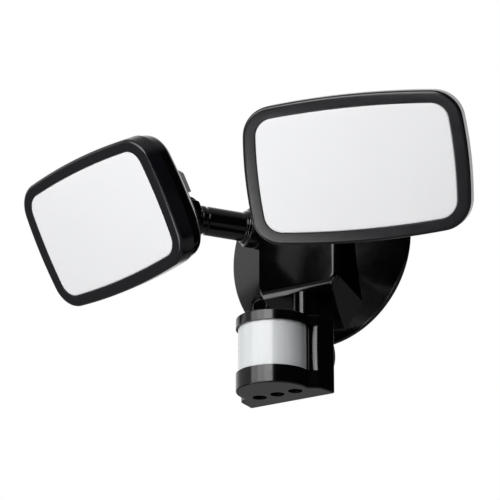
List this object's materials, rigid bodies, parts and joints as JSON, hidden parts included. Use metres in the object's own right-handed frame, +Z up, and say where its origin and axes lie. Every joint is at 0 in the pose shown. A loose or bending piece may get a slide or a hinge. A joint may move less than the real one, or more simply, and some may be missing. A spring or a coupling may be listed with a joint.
{
  "type": "motion sensor security light",
  "caption": "Twin-head outdoor security light: round wall base, two swivelling tilting lamp heads on arms, and a hanging pan-and-tilt motion sensor with adjusting dials.",
  "frame": {"origin": "centre of the round base's back face, on the wall", "axes": "+Z up, -Y out from the wall towards the lit ground, +X to the right seen from the front"},
  "size_m": [0.3068, 0.1497, 0.1692],
  "materials": {
    "black_gloss": "smooth glossy moulded black plastic",
    "black_satin": "satin black plastic",
    "opal": "milky light-spreading acrylic",
    "lens_white": "white heat-sensing lens sheet with fine facets inside",
    "seal": "soft black rubber",
    "board_white": "white coated aluminium circuit board",
    "board_green": "green circuit board",
    "led_yellow": "yellow phosphor light chips",
    "steel": "zinc plated",
    "plate_steel": "black coated steel plate",
    "component": "moulded electronic components",
    "terminal_white": "white nylon",
    "brass": "plain",
    "dial_black": "black, with a screwdriver slot"
  },
  "bodies": {
    "base": {"wall_pad": "seal", "wall_plate": "plate_steel", "base_cover": "black_gloss", "cover_screws": "steel", "screw_plugs": "black_satin", "cable_gland": "seal", "driver_board": "board_green", "driver_components": "component", "driver_standoffs": "black_satin", "terminal_block": "terminal_white", "terminal_screws": "brass", "left_lock_ring": "black_gloss", "right_lock_ring": "black_gloss"},
    "left_arm_body": {"left_arm": "black_gloss", "left_arm_seal": "seal"},
    "left_head_body": {"left_bezel": "black_gloss", "left_diffuser": "opal", "left_head_seal": "seal", "left_head_housing": "black_gloss", "left_led_board": "board_white", "left_board_screws": "steel", "left_led_chips": "led_yellow", "left_tilt_bolt": "black_satin", "left_tilt_nut": "black_satin"},
    "right_arm_body": {"right_arm": "black_gloss", "right_arm_seal": "seal"},
    "right_head_body": {"right_bezel": "black_gloss", "right_diffuser": "opal", "right_head_seal": "seal", "right_head_housing": "black_gloss", "right_led_board": "board_white", "right_board_screws": "steel", "right_led_chips": "led_yellow", "right_tilt_bolt": "black_satin", "right_tilt_nut": "black_satin"},
    "stem_body": {"sensor_stem": "black_gloss", "stem_clip": "steel"},
    "sensor_body": {"sensor_housing": "black_gloss", "sensor_lens": "lens_white", "sensor_rear_cover": "black_gloss", "sensor_screws": "steel", "sensor_tilt_pin": "black_satin", "sensor_board": "board_green", "heat_sensing_eye": "steel", "dial_controls": "component"},
    "light_level_dial_body": {"light_level_dial": "dial_black"},
    "time_dial_body": {"time_dial": "dial_black"},
    "range_dial_body": {"range_dial": "dial_black"}
  },
  "joints": [
    {"name": "left_arm_swivel", "type": "hinge", "parent": "base", "child": "left_arm_body", "pos_m": [-0.0345, -0.016, 0.0155], "axis": [-0.623, -0.7805, 0.0508], "range_deg": [-60, 60]},
    {"name": "left_head_tilt", "type": "hinge", "parent": "left_arm_body", "child": "left_head_body", "pos_m": [-0.0701, -0.0606, 0.0184], "axis": [0.9421, -0.3355, 0], "range_deg": [-38, 38]},
    {"name": "right_arm_swivel", "type": "hinge", "parent": "base", "child": "right_arm_body", "pos_m": [0.0345, -0.016, 0.015], "axis": [0.6534, -0.757, 0.007], "range_deg": [-60, 60]},
    {"name": "right_head_tilt", "type": "hinge", "parent": "right_arm_body", "child": "right_head_body", "pos_m": [0.0717, -0.0591, 0.0154], "axis": [0.9532, 0.3024, 0], "range_deg": [-38, 38]},
    {"name": "sensor_pan", "type": "hinge", "parent": "base", "child": "stem_body", "pos_m": [0, -0.024, -0.04], "axis": [0, 0, 1], "range_deg": [-60, 60]},
    {"name": "sensor_tilt", "type": "hinge", "parent": "stem_body", "child": "sensor_body", "pos_m": [0, -0.024, -0.08], "axis": [0.9998, -0.0175, 0], "range_deg": [-6, 40]},
    {"name": "light_level_dial_turn", "type": "hinge", "parent": "sensor_body", "child": "light_level_dial_body", "pos_m": [-0.01304, -0.05478, -0.103], "axis": [0, 0, 1], "range_deg": [-135, 135]},
    {"name": "time_dial_turn", "type": "hinge", "parent": "sensor_body", "child": "time_dial_body", "pos_m": [-0.00054, -0.055, -0.103], "axis": [0, 0, 1], "range_deg": [-135, 135]},
    {"name": "range_dial_turn", "type": "hinge", "parent": "sensor_body", "child": "range_dial_body", "pos_m": [0.01196, -0.05521, -0.103], "axis": [0, 0, 1], "range_deg": [-135, 135]}
  ]
}
